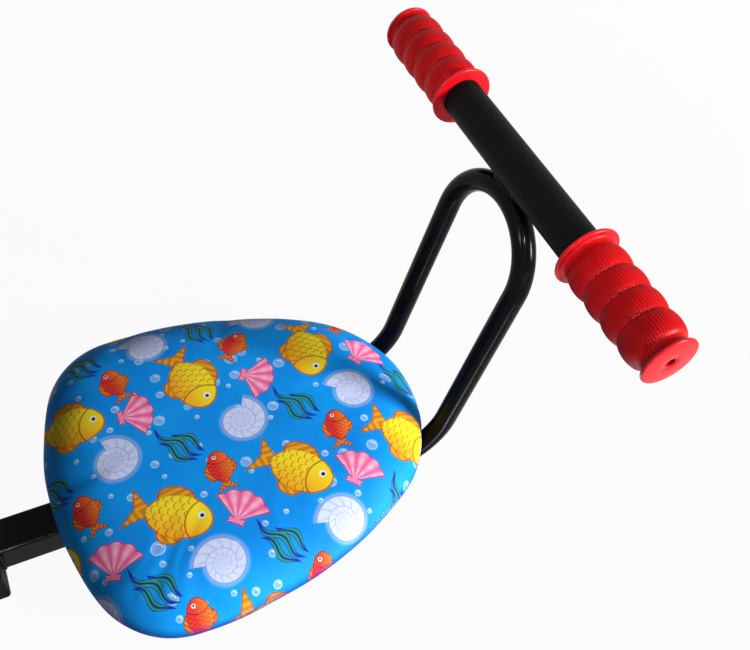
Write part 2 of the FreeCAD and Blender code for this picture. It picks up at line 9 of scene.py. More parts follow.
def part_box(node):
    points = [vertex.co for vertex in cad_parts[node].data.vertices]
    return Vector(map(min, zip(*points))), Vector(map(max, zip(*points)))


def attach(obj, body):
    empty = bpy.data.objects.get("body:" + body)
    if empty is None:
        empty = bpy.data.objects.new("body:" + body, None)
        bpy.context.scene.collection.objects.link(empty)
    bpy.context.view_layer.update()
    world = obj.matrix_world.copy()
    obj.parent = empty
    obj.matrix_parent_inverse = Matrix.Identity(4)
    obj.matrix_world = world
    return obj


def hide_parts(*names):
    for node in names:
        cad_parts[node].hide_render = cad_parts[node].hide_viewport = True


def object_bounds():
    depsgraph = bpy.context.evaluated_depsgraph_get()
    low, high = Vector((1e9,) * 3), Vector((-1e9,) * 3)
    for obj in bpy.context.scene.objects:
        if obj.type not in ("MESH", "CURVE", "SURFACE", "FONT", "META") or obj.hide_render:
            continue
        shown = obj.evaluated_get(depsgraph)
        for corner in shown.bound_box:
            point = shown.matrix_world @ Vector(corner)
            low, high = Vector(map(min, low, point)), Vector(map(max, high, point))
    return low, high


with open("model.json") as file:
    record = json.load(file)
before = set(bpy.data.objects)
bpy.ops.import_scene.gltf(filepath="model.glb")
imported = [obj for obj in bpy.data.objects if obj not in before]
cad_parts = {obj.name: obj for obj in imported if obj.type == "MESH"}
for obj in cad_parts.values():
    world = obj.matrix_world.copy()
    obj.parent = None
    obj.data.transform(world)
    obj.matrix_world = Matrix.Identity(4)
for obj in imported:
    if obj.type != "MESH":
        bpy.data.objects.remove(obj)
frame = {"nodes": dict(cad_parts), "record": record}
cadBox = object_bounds()
nodes = frame["nodes"]
scene = bpy.context.scene
scene.view_settings.view_transform = "Standard"
print("frame loaded:", len(nodes), "nodes")

mm = 0.001  # everything below is in metres, as the frame is

# Camera: stands above and to the right of the seat's rear, as in the photograph
cameraSetup = {
    "place": (0.32492, 0.10311, 0.58104), "azimuth": 60.17, "elevation": 51.13, "roll": 6.92, "lens": 43.2,
    "sensor": 36.0, "clipStart": 0.01,
}


def addCamera(setup):
    camera = bpy.data.objects.new("camera", bpy.data.cameras.new("camera"))
    camera.data.lens = setup["lens"]
    camera.data.sensor_width = setup["sensor"]
    camera.data.clip_start = setup["clipStart"]
    view = Matrix.Translation(setup["place"])
    for degrees, axis in ((setup["azimuth"], "Z"), (90 - setup["elevation"], "X"), (setup["roll"], "Z")):
        view = view @ Matrix.Rotation(math.radians(degrees), 4, axis)
    camera.matrix_world = view
    scene.collection.objects.link(camera)
    scene.camera = camera


addCamera(cameraSetup)
print("camera placed")


# Colours are written as they look on a screen, 0 to 255
def rgb(red, green, blue):
    shares = [value / 255 for value in (red, green, blue)]
    linear = [s / 12.92 if s <= 0.04045 else ((s + 0.055) / 1.055) ** 2.4 for s in shares]
    return (*linear, 1.0)


# A socket of a node tree that can stand in plain sums
class Signal:
    def __init__(self, socket):
        self.socket = socket

    def calc(self, operation, *others, clamp=False):
        node = newNode("Math", self, *others)
        node.operation = operation
        node.use_clamp = clamp
        return Signal(node.outputs[0])

    __add__ = partialmethod(calc, "ADD")
    __sub__ = partialmethod(calc, "SUBTRACT")
    __mul__ = partialmethod(calc, "MULTIPLY")
    __truediv__ = partialmethod(calc, "DIVIDE")
    __abs__ = partialmethod(calc, "ABSOLUTE")
    __neg__ = partialmethod(calc, "MULTIPLY", -1.0)
    least = partialmethod(calc, "MINIMUM")
    most = partialmethod(calc, "MAXIMUM")
    clamped = partialmethod(calc, "ADD", 0.0, clamp=True)  # held between 0 and 1

    def rising(self, start, gain):  # 0 at the start, changing by the gain for each unit, and held between 0 and 1
        return ((self - start) * gain).clamped()

    def wave(self):  # swings between 0 and 1
        return self.calc("SINE") * 0.5 + 0.5

    def inside(self, soft=0.5):  # 1 where a distance is below nought, 0 above, with a soft edge
        return (self * (-1.0 / soft)).calc("ADD", 0.5, clamp=True)


# A new node in the tree that its first value belongs to, with its inputs fed in their order
def newNode(kind, *values):
    first = values[0].socket if isinstance(values[0], Signal) else values[0]
    node = first.id_data.nodes.new("ShaderNode" + kind)
    for socket, value in zip(node.inputs, values):
        feed(value, socket)
    return node


def feed(value, socket):
    if isinstance(value, Signal):
        value = value.socket
    if isinstance(value, bpy.types.NodeSocket):
        socket.id_data.links.new(value, socket)
    else:
        socket.default_value = value


def reach(x, y):
    return (x * x + y * y).calc("SQRT")


def parts(vector):
    return [Signal(socket) for socket in newNode("SeparateXYZ", vector).outputs]


def joined(x, y, z=0.0):
    return newNode("CombineXYZ", x, y, z).outputs[0]


def scaled(vector, amount):
    node = newNode("VectorMath", vector)
    node.operation = "SCALE"
    feed(amount, node.inputs["Scale"])
    return node.outputs[0]


def blended(share, first, second):
    node = newNode("Mix", share)
    node.data_type = "RGBA"
    feed(first, node.inputs[6])
    feed(second, node.inputs[7])
    return node.outputs[2]


def noise(place, scale, detail):
    node = newNode("TexNoise", place)
    feed(scale, node.inputs["Scale"])
    node.inputs["Detail"].default_value = detail
    return Signal(node.outputs["Fac"])


def newGroup(name, inputs, outputs):
    tree = bpy.data.node_groups.new(name, "ShaderNodeTree")
    for side, sockets in (("INPUT", inputs), ("OUTPUT", outputs)):
        for label, kind in sockets.items():
            tree.interface.new_socket(label, in_out=side, socket_type="NodeSocket" + kind)
    given = tree.nodes.new("NodeGroupInput").outputs
    result = tree.nodes.new("NodeGroupOutput").inputs
    return tree, given, result


def useGroup(tree, group, **values):
    node = tree.nodes.new("ShaderNodeGroup")
    node.node_tree = group
    for label, value in values.items():
        feed(value, node.inputs[label])
    return node.outputs


# Shared groups: each pair is where a noise starts to count and how fast it rises from there
groupLook = {
    "drift": (0.32, 2.8), "smudge": (0.5, 4.0), "smudgeScale": 0.045, "smudgeShare": 0.7, "scratch": (0.64, 9.0),
    "scratchScale": 0.9, "scratchDraw": (0.04, 1.3, 1.3),
}


# Slow change of tone over a surface
def makeToneDrift(look):
    tree, given, result = newGroup(
        "toneDrift", {"Place": "Vector", "Span": "Float", "Tone": "Color", "Other": "Color"},
        {"Colour": "Color", "Share": "Float"})
    scale = Signal(given["Span"]).calc("POWER", -1.0)
    share = noise(given["Place"], scale, detail=4.0).rising(*look["drift"])
    feed(blended(share, given["Tone"], given["Other"]), result["Colour"])
    feed(share, result["Share"])
    return tree


# Fine relief: pebbled cells like pressed grain, or a plain fine swell, or some of each
def makeFineRelief():
    tree, given, result = newGroup(
        "fineRelief", {"Place": "Vector", "Span": "Float", "Pebble": "Float"}, {"Height": "Float"})
    scale = Signal(given["Span"]).calc("POWER", -1.0)
    cells = newNode("TexVoronoi", given["Place"])
    cells.feature = "SMOOTH_F1"
    feed(scale, cells.inputs["Scale"])
    swell = noise(given["Place"], scale, detail=2.0)
    pebble = Signal(given["Pebble"])
    feed(Signal(cells.outputs["Distance"]) * pebble + swell * (-pebble + 1.0), result["Height"])
    return tree


# Marks of handling: sparse smudges and hair scratches that change the gloss
def makeHandlingMarks(look):
    tree, given, result = newGroup("handlingMarks", {"Place": "Vector", "Amount": "Float"}, {"Mask": "Float"})
    smudge = noise(given["Place"], look["smudgeScale"], detail=5.0).rising(*look["smudge"])
    drawn = [part * draw for part, draw in zip(parts(given["Place"]), look["scratchDraw"])]
    scratch = noise(joined(*drawn), look["scratchScale"], detail=6.0).rising(*look["scratch"])
    mask = (smudge * look["smudgeShare"] + scratch) * given["Amount"]
    feed(mask.clamped(), result["Mask"])
    return tree


toneDrift = makeToneDrift(groupLook)
fineRelief = makeFineRelief()
handlingMarks = makeHandlingMarks(groupLook)
print("shared node groups made")


def newMaterial(name):
    material = bpy.data.materials.new(name)
    material.use_nodes = True
    tree = material.node_tree
    return material, tree, tree.nodes["Principled BSDF"]


def objectPlace(tree):  # millimetres in the part's own frame
    return scaled(tree.nodes.new("ShaderNodeTexCoord").outputs["Object"], 1 / mm)


def attribute(tree, name, output):
    node = tree.nodes.new("ShaderNodeAttribute")
    node.attribute_name = name
    return node.outputs[output]


def addBump(shader, height, depth):
    bump = shader.id_data.nodes.new("ShaderNodeBump")
    bump.inputs["Distance"].default_value = depth
    feed(height, bump.inputs["Height"])
    feed(bump.outputs["Normal"], shader.inputs["Normal"])


def setSockets(node, values):
    for label, value in values.items():
        node.inputs[label].default_value = value


# A material whose tone drifts, with fine relief, a gloss that is dulled in places, and edges that may be lightened
# as rubbed paint with a painted highlight
def plainMaterial(name, finish):
    material, tree, shader = newMaterial(name)
    place = objectPlace(tree)
    drift = useGroup(tree, toneDrift, Place=place, Span=finish["toneSpan"], Tone=finish["tone"],
                     Other=finish["otherTone"])
    colour = drift["Colour"]
    if "wearAndHighlight" in finish:
        # painted highlight and rubbed paint: the rounded edges are lightened to grey
        colour = blended(edgeWearAndHighlight(place, finish) * finish["wearAndHighlight"], colour, finish["wornHighlightTone"])
    feed(colour, shader.inputs["Base Color"])
    dull = drift["Share"]
    if "marks" in finish:
        dull = useGroup(tree, handlingMarks, Place=place, Amount=finish["marks"])["Mask"]
    if "dulling" in finish:
        feed(Signal(dull) * finish["dulling"] + finish["gloss"], shader.inputs["Roughness"])
    relief = useGroup(tree, fineRelief, Place=place, Span=finish["reliefSpan"], Pebble=finish["pebble"])["Height"]
    addBump(shader, relief, finish["reliefDepth"])
    setSockets(shader, finish["sockets"])
    return material


# 1 on the rounded edges between the flat sides of a square bar, broken up as by rubbing; the grey laid there is
# rubbed paint and a painted edge highlight
def edgeWearAndHighlight(place, finish):
    normal = place.id_data.nodes.new("ShaderNodeNewGeometry").outputs["True Normal"]
    x, y, z = [abs(part) for part in parts(normal)]
    rubbed = noise(place, finish["rubScale"], detail=4.0).rising(*finish["rub"])
    return x.most(y).most(z).rising(*finish["edge"]) * rubbed


# Black powder coat: glossy on the loop, satin on the handlebar, lighter along the edges of beam and plates,
# as rubbed paint and a painted edge highlight, dull on the clamp
paintLook = {
    "tone": rgb(7, 7, 8), "otherTone": rgb(9, 9, 12), "toneSpan": 26.0, "marks": 0.6, "reliefSpan": 2.4,
    "reliefDepth": 0.05 * mm, "pebble": 0.15, "wornHighlightTone": rgb(128, 128, 132), "edge": (0.88, -10.0),
    "rub": (0.34, 4.0), "rubScale": 0.8, "sockets": {"Specular IOR Level": 0.05},
}
paintFinishes = {
    "tubePaint": {"gloss": 0.15, "dulling": 0.13},
    "beamPaint": {"gloss": 0.2, "dulling": 0.14, "wearAndHighlight": 0.8},
    "barPaint": {"gloss": 0.5, "dulling": 0.1},
    "clampPaint": {"gloss": 0.6, "dulling": 0.1},
}

# Moulded black plastic of the plugs
plasticFinish = {
    "tone": rgb(20, 20, 21), "otherTone": rgb(30, 30, 32), "toneSpan": 8.0, "gloss": 0.5, "dulling": 0.2,
    "marks": 0.4, "reliefSpan": 0.5, "reliefDepth": 0.06 * mm, "pebble": 0.7, "sockets": {},
}

# Zinc plated steel of bolts, washers, inserts and staples
zincFinish = {
    "tone": rgb(176, 178, 180), "otherTone": rgb(140, 142, 148), "toneSpan": 3.5, "gloss": 0.3, "dulling": 0.2,
    "reliefSpan": 0.6, "reliefDepth": 0.03 * mm, "pebble": 0.3, "sockets": {"Metallic": 1.0},
}

# Open-cell foam of the padding
foamFinish = {
    "tone": rgb(232, 222, 190), "otherTone": rgb(214, 198, 156), "toneSpan": 18.0, "reliefSpan": 1.1,
    "reliefDepth": 0.4 * mm, "pebble": 0.9, "sockets": {"Roughness": 0.95},
}

# Birch plywood of the seat board, with its grain along the seat
plywoodFinish = {
    "light": rgb(206, 172, 126), "dark": rgb(160, 116, 72), "gloss": 0.62, "dulling": 0.15, "waver": (0.05, 0.006),
    "waverReach": 9.0, "grain": (0.9, 0.03, 0.3), "streak": (0.35, 2.4), "plies": 0.56, "plyLine": 0.12,
    "plyShade": 0.35, "reliefDepth": 0.12 * mm,
}


def makePlywood(finish):
    material, tree, shader = newMaterial("plywood")
    x, y, z = parts(objectPlace(tree))
    waverX, waverY = finish["waver"]
    grainX, grainY, grainZ = finish["grain"]
    waver = noise(joined(x * waverX, y * waverY), 1.0, detail=4.0)
    grain = noise(joined(x * grainX + waver * finish["waverReach"], y * grainY, z * grainZ), 1.0, detail=5.0)
    streak = grain.rising(*finish["streak"])
    ply = abs((z * finish["plies"]).calc("FRACT") - 0.5).calc("LESS_THAN", finish["plyLine"])
    wood = blended(streak, finish["light"], finish["dark"])
    feed(blended(ply * finish["plyShade"], wood, finish["dark"]), shader.inputs["Base Color"])
    feed(streak * finish["dulling"] + finish["gloss"], shader.inputs["Roughness"])
    addBump(shader, grain, finish["reliefDepth"])
    return material


# Red moulded rubber of the grips: glossier on the flanges, where the mould was polished, and painted brighter and
# pinker there as a painted sheen
rubberFinish = {
    "tone": rgb(184, 10, 15), "otherTone": rgb(164, 7, 12), "toneSpan": 9.0, "flangeSheenTone": rgb(190, 12, 24),
    "gloss": 0.4, "dulling": 0.1, "marks": 0.5, "flangeGloss": 0.26, "flangeCoat": 0.16, "reliefSpan": 0.7,
    "reliefDepth": 0.04 * mm, "pebble": 0.4, "sockets": {"Specular IOR Level": 0.1, "Coat Roughness": 0.26},
}


def makeRedRubber(finish):
    material = plainMaterial("redRubber", finish)
    tree = material.node_tree
    sockets = tree.nodes["Principled BSDF"].inputs
    share = Signal(attribute(tree, "polishAndSheen", "Fac"))
    colour, gloss = [sockets[label].links[0].from_socket for label in ("Base Color", "Roughness")]
    # painted sheen: the flanges are given a brighter, pinker tone
    feed(blended(share, colour, finish["flangeSheenTone"]), sockets["Base Color"])
    feed(Signal(gloss) + share * (finish["flangeGloss"] - finish["gloss"]), sockets["Roughness"])
    feed(share * finish["flangeCoat"], sockets["Coat Weight"])
    return material


# Printed leatherette. The print is a half-drop repeat of sea motifs, in millimetres on the flat cloth.
printColours = {
    "sea": rgb(18, 156, 243), "deepSea": rgb(16, 136, 232), "paleSea": rgb(176, 232, 252),
    "foamWhite": rgb(236, 244, 254), "shell": rgb(214, 226, 250), "yellow": rgb(248, 222, 44),
    "amber": rgb(240, 168, 36), "rust": rgb(150, 52, 34), "red": rgb(222, 52, 44), "orange": rgb(244, 128, 48),
    "pink": rgb(240, 96, 156), "rose": rgb(255, 190, 216), "magenta": rgb(176, 32, 104),
    "lilac": rgb(186, 162, 232), "green": rgb(52, 160, 72), "navy": rgb(22, 52, 170), "ink": rgb(24, 22, 40),
}

# Each layer: motif, size, place in the repeat, turn, how far single copies sway from it, and colours
printLayers = [
    ("weed", 0.9, (-48, 18), 2.0, 0.8, ("green", "navy", "navy")),
    ("spiral", 1.0, (44, -65), 0.8, 3.0, ("shell", "lilac", "navy")),
    ("scallop", 1.0, (13, -42), 0.4, 2.4, ("pink", "rose", "magenta")),
    ("fish", 0.58, (-20, 39), 2.7, 1.4, ("red", "orange", "ink")),
    ("fish", 1.06, (0, 0), 0.5, 1.6, ("yellow", "amber", "rust")),
]
repeatSize = (92.0, 86.0)
repeatJitter = 6.0


def makeRepeat():
    tree, given, result = newGroup(
        "printRepeat", {"Place": "Vector", "Shift": "Vector", "Turn": "Float", "Sway": "Float"}, {"Spot": "Vector"})
    wide, tall = repeatSize
    x, y, z = parts(given["Place"])
    shiftX, shiftY, shiftZ = parts(given["Shift"])
    across = (x - shiftX) / wide
    column = across.calc("FLOOR")
    along = (y - shiftY) / tall + column.calc("FLOORED_MODULO", 2.0) * 0.5
    row = along.calc("FLOOR")
    chance = newNode("TexWhiteNoise", joined(column, row))
    chance.noise_dimensions = "2D"
    luckX, luckY, luckTurn = [luck - 0.5 for luck in parts(chance.outputs["Color"])]
    angle = luckTurn * given["Sway"] + given["Turn"]
    localX = (across - column - 0.5) * wide + luckX * repeatJitter
    localY = (along - row - 0.5) * tall + luckY * repeatJitter
    cosine = angle.calc("COSINE")
    sine = angle.calc("SINE")
    feed(joined(localX * cosine + localY * sine, localY * cosine - localX * sine), result["Spot"])
    return tree


def motifGroup(name):
    tree, given, result = newGroup(
        name, {"Spot": "Vector", "Size": "Float", "First": "Color", "Second": "Color", "Line": "Color"},
        {"Colour": "Color", "Mask": "Float"})
    x, y, z = parts(scaled(given["Spot"], Signal(given["Size"]).calc("POWER", -1.0)))
    return tree, given, result, x, y


def lineIn(whole, width):  # an outline of this width inside a motif's edge
    return whole.rising(-width, 2.0)


def outlined(given, result, whole, colour, edge):
    feed(blended(edge, colour, given["Line"]), result["Colour"])
    feed(whole.inside(), result["Mask"])


def oval(x, y, middleX, middleY, wide, tall):  # about the distance from its edge
    return (reach((x - middleX) / wide, (y - middleY) / tall) - 1.0) * tall


def disc(x, y, middleX, middleY, radius):
    return reach(x - middleX, y - middleY) - radius


# Ovals are middle and half width and height, discs are middle and radius
fishShape = {
    "body": (4.0, 0.0, 21.0, 14.0), "backFin": (-1.0, 12.0, 12.0, 7.5), "bellyFin": (1.0, -13.0, 8.0, 5.5),
    "tail": (14.0, 0.74, 2.4, 0.34, 10.5, 5.0), "rays": (0.9, 1.1), "rayShade": 0.55, "belly": (-0.06, 0.25),
    "scaleSize": (5.2, 4.4), "scaleArc": (1.6, 0.0, 2.7), "scaleLine": 0.32, "scaleShade": 0.75,
    "head": (24.0, 0.0, 16.0), "headGap": 0.8, "gillLine": 0.5, "gillShade": 0.8, "eye": (17.0, 3.4, 2.3),
    "pupil": (17.3, 3.3, 1.3), "line": 1.0, "lineShade": 0.85,
}


def makeFish(shape):
    tree, given, result, x, y = motifGroup("printFish")
    high = abs(y)
    body = oval(x, y, *shape["body"])
    root, flare, waist, fork, length, overlap = shape["tail"]
    behind = -x - root
    tail = (high - behind * flare - waist).most(behind - high * fork - length).most(-behind - overlap)
    whole = body.least(tail).least(oval(x, y, *shape["backFin"])).least(oval(x, y, *shape["bellyFin"]))
    within = body.inside()
    rayX, rayY = shape["rays"]
    fins = blended((x * rayX - high * rayY).wave() * shape["rayShade"], given["Second"], given["Line"])
    fall, start = shape["belly"]
    skin = blended((y * fall + start).clamped(), given["First"], given["Second"])
    colour = blended(within, fins, skin)
    wide, tall = shape["scaleSize"]
    row = (y / tall).calc("FLOOR")
    scaleX = ((x / wide + row.calc("FLOORED_MODULO", 2.0) * 0.5).calc("FRACT") - 0.5) * wide
    scaleY = ((y / tall).calc("FRACT") - 0.5) * tall
    head = disc(x, y, *shape["head"])
    scales = (abs(disc(scaleX, scaleY, *shape["scaleArc"])) - shape["scaleLine"]).inside(0.6)
    scales = scales * within * (-head + shape["headGap"]).inside()
    gill = (abs(head) - shape["gillLine"]).inside() * within
    colour = blended(scales * shape["scaleShade"], colour, given["Line"])
    colour = blended(gill * shape["gillShade"], colour, given["Line"])
    colour = blended(disc(x, y, *shape["eye"]).inside(), colour, printColours["foamWhite"])
    colour = blended(disc(x, y, *shape["pupil"]).inside(), colour, printColours["ink"])
    rim = abs(body).inside(1.4) * (whole + 0.2).inside()
    edge = lineIn(whole, shape["line"]).most(rim)
    outlined(given, result, whole, colour, edge * shape["lineShade"])
    return tree


scallopShape = {
    "root": 10.0, "ribs": 6.5, "ripple": 1.5, "radius": 20.5, "halfAngle": 1.02, "sideSlope": 12.0,
    "hingeHalf": (5.6, 2.2), "hingeDrop": 10.5, "bands": 0.75, "bandShade": 0.35, "line": 0.9,
}


def makeScallop(shape):
    tree, given, result, x, y = motifGroup("printScallop")
    high = y + shape["root"]
    out = reach(x, high)
    angle = x.calc("ARCTAN2", high)
    ripple = abs((angle * shape["ribs"]).calc("COSINE"))
    fan = out - ripple * shape["ripple"] - shape["radius"]
    fan = fan.most((abs(angle) - shape["halfAngle"]) * shape["sideSlope"])
    hingeX, hingeY = shape["hingeHalf"]
    whole = fan.least((abs(x) - hingeX).most(abs(y + shape["hingeDrop"]) - hingeY))
    colour = blended(ripple.calc("POWER", 2.0), given["First"], given["Second"])
    colour = blended((out * shape["bands"]).wave() * shape["bandShade"], colour, given["First"])
    outlined(given, result, whole, colour, lineIn(whole, shape["line"]))
    return tree


spiralShape = {
    "heart": 0.3, "growth": 1.72, "radius": 11.2, "ribs": 13.0, "ribLean": 0.5, "stripe": (0.3, 6.0),
    "stripeShade": (0.5, 0.25), "whorlShade": 0.8, "line": 0.8, "lineShade": 0.7, "cover": 0.88, "glowWidth": 1.2,
    "glow": 0.4,
}


def makeSpiral(shape):
    tree, given, result, x, y = motifGroup("printSpiral")
    out = reach(x, y).most(shape["heart"])
    around = y.calc("ARCTAN2", x) / (2 * math.pi) + 0.5
    shore = (around * math.log(shape["growth"])).calc("EXPONENT") * shape["radius"]
    turn = (out / shore).calc("LOGARITHM", 1 / shape["growth"]).calc("FRACT")  # 0 on the line between two whorls
    whole = out - shore
    ribs = abs((around * shape["ribs"] + turn * shape["ribLean"]).calc("FRACT") - 0.5)
    rise, start = shape["stripeShade"]
    colour = blended(ribs.rising(*shape["stripe"]) * (turn * rise + start), given["First"], given["Second"])
    whorl = (turn - 0.08).inside(0.1).most((-turn + 0.95).inside(0.06))
    colour = blended(whorl * shape["whorlShade"], colour, given["Second"])
    colour = blended(lineIn(whole, shape["line"]) * shape["lineShade"], colour, given["Line"])
    within = whole.inside(0.9)
    glow = (whole - shape["glowWidth"]).inside(3.2) * shape["glow"]  # soft light round the shell
    feed(blended(within, given["First"], colour), result["Colour"])
    feed((within * shape["cover"]).most(glow), result["Mask"])
    return tree


# Each blade: place aside, lift, half length and phase of its bends
weedShape = {
    "blades": ((-6.0, -3.0, 17.0, 0.0), (1.0, 2.0, 23.0, 1.4), (8.0, -5.0, 15.0, 2.6)), "bends": 0.24, "swing": 2.6,
    "halfWidth": 3.2, "vein": 0.9, "line": 0.9,
}


def makeWeed(shape):
    tree, given, result, x, y = motifGroup("printWeed")
    blades = []
    veins = []
    for aside, lift, long, phase in shape["blades"]:
        vein = abs(x - aside - (y * shape["bends"] + phase).calc("SINE") * shape["swing"])
        taper = ((y - lift) / long).calc("POWER", 2.0) * -shape["halfWidth"] + shape["halfWidth"]
        blades.append(vein - taper)
        veins.append(vein)
    whole = reduce(Signal.least, blades)
    vein = reduce(Signal.least, veins)
    colour = blended((vein - shape["vein"]).inside(), given["First"], given["Second"])
    outlined(given, result, whole, colour, lineIn(whole, shape["line"]))
    return tree


# Rings of many sizes scattered over the sea between the motifs
bubbles = {
    "span": 17.5, "scatter": 0.8, "growth": 3.2, "leastRadius": 1.4, "leftOut": 0.2, "fill": 0.22, "ring": 0.32,
    "ringShade": (0.4, 0.45), "crescentPlace": 0.62, "crescent": 0.3, "crescentEnd": (0.5, 5.0),
}


def addBubbles(place, sea, shape):
    cells = newNode("TexVoronoi", place)
    cells.voronoi_dimensions = "2D"
    setSockets(cells, {"Scale": 1 / shape["span"], "Randomness": shape["scatter"]})
    size, shown, pale = parts(cells.outputs["Color"])
    radius = size * size * shape["growth"] + shape["leastRadius"]
    away = Signal(cells.outputs["Distance"]) * shape["span"]
    seen = shown.calc("GREATER_THAN", shape["leftOut"])
    filled = (away - radius).inside() * seen * shape["fill"]
    ring = (abs(away - radius) - shape["ring"]).inside() * seen
    x, y, z = parts(place)
    middleX, middleY, middleZ = parts(cells.outputs["Position"])
    facing = (y - middleY - x + middleX) * 0.7 / away.most(0.2)  # 1 towards the upper left of a ring
    crescent = (abs(away - radius * shape["crescentPlace"]) - shape["crescent"]).inside(0.6) * seen
    rise, start = shape["ringShade"]
    colour = blended(filled, sea, printColours["foamWhite"])
    colour = blended(ring * (pale * rise + start), colour, printColours["paleSea"])
    return blended(crescent * facing.rising(*shape["crescentEnd"]), colour, printColours["foamWhite"])


# The rim values paint shade: the leather's colour turns towards navy on the cushion's steep sides
leatherFinish = {
    "seaSpan": 46.0, "gloss": 0.58, "dulling": 0.12, "marks": 0.5, "grainSpan": 0.9, "grainDepth": 0.05 * mm,
    "pebble": 0.8, "creaseSpan": 34.0, "creaseHeight": 6.0, "rimShadeTone": rgb(12, 34, 140), "rimShadeFall": 1.8,
    "rimShadeShare": 0.8, "sockets": {"Specular IOR Level": 0.09},
}


def makeLeatherette(finish):
    material, tree, shader = newMaterial("printedLeatherette")
    motifs = {
        "fish": makeFish(fishShape),
        "scallop": makeScallop(scallopShape),
        "spiral": makeSpiral(spiralShape),
        "weed": makeWeed(weedShape),
    }
    repeat = makeRepeat()
    place = scaled(attribute(tree, "printPlace", "Vector"), 1 / mm)
    sea = useGroup(tree, toneDrift, Place=place, Span=finish["seaSpan"], Tone=printColours["sea"],
                   Other=printColours["deepSea"])
    colour = addBubbles(place, sea["Colour"], bubbles)
    for name, size, shift, turn, sway, colours in printLayers:
        spot = useGroup(tree, repeat, Place=place, Shift=(*shift, 0), Turn=turn, Sway=sway)["Spot"]
        first, second, line = [printColours[label] for label in colours]
        motif = useGroup(tree, motifs[name], Spot=spot, Size=size, First=first, Second=second, Line=line)
        colour = blended(motif["Mask"], colour, motif["Colour"])
    upward = parts(tree.nodes.new("ShaderNodeNewGeometry").outputs["Normal"])[2]
    rim = (abs(upward) * -finish["rimShadeFall"] + 1.0).clamped()  # painted shade: the leather is darkened towards navy where it turns down
    feed(blended(rim * finish["rimShadeShare"], colour, finish["rimShadeTone"]), shader.inputs["Base Color"])
    surface = objectPlace(tree)
    grain = useGroup(tree, fineRelief, Place=surface, Span=finish["grainSpan"], Pebble=finish["pebble"])["Height"]
    crease = noise(surface, 1 / finish["creaseSpan"], detail=3.0)
    addBump(shader, Signal(grain) + crease * finish["creaseHeight"], finish["grainDepth"])
    marks = useGroup(tree, handlingMarks, Place=surface, Amount=finish["marks"])["Mask"]
    feed(Signal(marks) * finish["dulling"] + finish["gloss"], shader.inputs["Roughness"])
    setSockets(shader, finish["sockets"])
    return material


paints = {name: plainMaterial(name, {**paintLook, **finish}) for name, finish in paintFinishes.items()}
slotMaterials = {
    "black_paint": paints["tubePaint"],
    "black_plastic": plainMaterial("blackPlastic", plasticFinish),
    "zinc_plated_steel": plainMaterial("zincSteel", zincFinish),
    "plywood": makePlywood(plywoodFinish),
    "seat_foam": plainMaterial("seatFoam", foamFinish),
    "red_rubber": makeRedRubber(rubberFinish),
    "printed_leatherette": makeLeatherette(leatherFinish),
}
nodeMaterials = {
    "handlebar_tube": paints["barPaint"],
    "main_beam": paints["beamPaint"],
    "front_crossplate": paints["beamPaint"],
    "rear_crossplate": paints["beamPaint"],
    "clamp_fixed_jaw": paints["clampPaint"],
    "clamp_loose_jaw": paints["clampPaint"],
}

for part in frame["record"]["subparts"]:
    dressed = nodes[part["node"]].data.materials
    dressed.clear()
    dressed.append(nodeMaterials.get(part["node"], slotMaterials[part["material_slot"]]))
print("materials made and given to the frame")


def newPiece(name, points, faces, slotName, *replaced):
    mesh = bpy.data.meshes.new(name)
    mesh.from_pydata([tuple(point) for point in points], [], faces)
    mesh.update()
    mesh.shade_smooth()
    mesh.materials.append(slotMaterials[slotName])
    piece = bpy.data.objects.new(name, mesh)
    scene.collection.objects.link(piece)
    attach(piece, "root")
    if replaced:
        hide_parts(*replaced)
    return piece


sharpAngle = math.radians(50)


# Quads between neighbours in a table of point numbers
def tableFaces(table, flipped):
    quads = np.stack([table[:-1, :-1], table[:-1, 1:], table[1:, 1:], table[1:, :-1]], -1).reshape(-1, 4)
    return [tuple(quad[::-1] if flipped else quad) for quad in quads.tolist()]


# Quads between rings of points that follow each other
def ringFaces(rings, count, start=0, closed=False, flipped=False):
    table = start + np.arange(rings * count).reshape(rings, count)
    table = np.hstack([table, table[:, :1]])
    return tableFaces(np.vstack([table, table[:1]]) if closed else table, flipped)


# Quads of a grid that has a ring of points as its border and its inner points row by row
def gridFaces(side, ringStart, gridStart, flipped=False):
    table = np.zeros((side + 1, side + 1), int)
    near, right, far, left = ringStart + np.arange(4 * side).reshape(4, side)
    table[0, :-1] = near
    table[:-1, -1] = right
    table[-1, :0:-1] = far
    table[:0:-1, 0] = left
    table[1:-1, 1:-1] = gridStart + np.arange((side - 1) ** 2).reshape(side - 1, side - 1)
    return tableFaces(table, flipped)


# Seat cushion: rings follow the frame's outline from the hem under the board, round the rim and over the crown,
# and a grid closes the top. Waves are share, turns round the seat and phase.
cushion = {
    "outlineSamples": 1440, "outlineWaves": 40, "ringPoints": 240, "hemWidth": 27 * mm, "bottomRound": 9.5 * mm,
    "crownWidth": 40 * mm, "hemRings": 5, "bottomRings": 5, "crownRings": 12, "sink": 6.0 * mm,
    "mostSwell": 9.0 * mm, "slack": 0.35, "frames": 20, "leather": 1.2 * mm, "pleatPitch": 15 * mm,
    "pleatDepth": 1.1 * mm, "pleatDrift": ((0.35, 5, 0.2), (0.25, 11, 0.6)), "pleatMean": 0.55,
    "pleatBeats": ((0.45, 7, 0.1), (1, 3, 0.4)), "waver": 0.45 * mm, "waverRings": 6,
    "waverWaves": ((0.6, 9, 0.3), (0.4, 16, 0.7)), "fill": 0.75,
}
cushionCloth = {
    "quality": 6, "mass": 0.3, "tension_stiffness": 25, "compression_stiffness": 25, "shear_stiffness": 8,
    "bending_stiffness": 2, "use_pressure": True, "uniform_pressure_force": 4.0,
}

# The loop's legs, as the frame has them: where they rise in front of the seat they press its lower edge in
legs = {
    "aside": 43.7 * mm, "bendPlace": (283.0 * mm, 55.5 * mm), "bendRadius": 50 * mm, "tube": 7.5 * mm,
    "room": 0.9 * mm,
}
tiny = 1e-9


